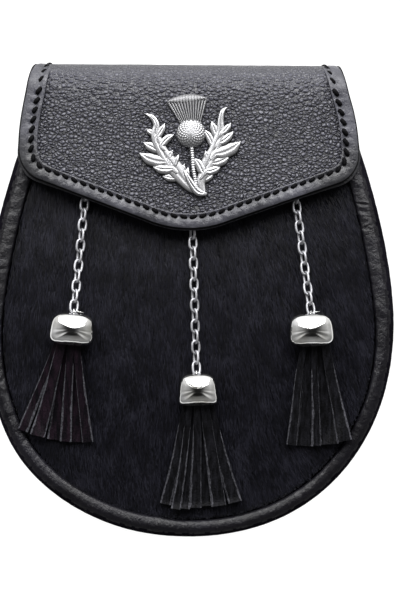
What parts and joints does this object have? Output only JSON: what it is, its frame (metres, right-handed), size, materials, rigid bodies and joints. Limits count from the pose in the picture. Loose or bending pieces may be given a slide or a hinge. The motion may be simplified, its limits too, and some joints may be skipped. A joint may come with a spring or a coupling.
{
  "type": "sporran pouch",
  "caption": "Fur-fronted leather sporran pouch with a stitched flap, a thistle badge and chain tassels with metal caps, lying on its back.",
  "frame": {"origin": "under the middle of the pouch's bounding box, on the surface that it lies on", "axes": "+Z out of the pouch's front, +Y towards the top fold of the flap, +X to the right as the front is looked at"},
  "size_m": [0.1918, 0.2244, 0.0479],
  "materials": {
    "hair_on_hide": "short sleek black hair on hide",
    "smooth_leather": "smooth black leather, softly glossy",
    "grain_leather": "pebble-grain black leather, softly glossy",
    "tassel_leather": "matt black leather with paler cut edges",
    "polished_metal": "polished silver plate"
  },
  "bodies": {
    "root": {"front_panel": "hair_on_hide", "gusset": "smooth_leather", "back_panel": "smooth_leather", "flap_lining": "smooth_leather", "flap_panel": "grain_leather", "flap_border": "smooth_leather", "thistle_badge": "polished_metal", "chain_left": "polished_metal", "chain_centre": "polished_metal", "chain_right": "polished_metal", "tassel_cap_left": "polished_metal", "tassel_cap_centre": "polished_metal", "tassel_cap_right": "polished_metal", "tassel_left": "tassel_leather", "tassel_centre": "tassel_leather", "tassel_right": "tassel_leather", "chain_rivet_left": "polished_metal", "chain_rivet_centre": "polished_metal", "chain_rivet_right": "polished_metal", "belt_loop_left": "smooth_leather", "belt_loop_right": "smooth_leather", "closure_stud": "polished_metal"}
  },
  "joints": []
}
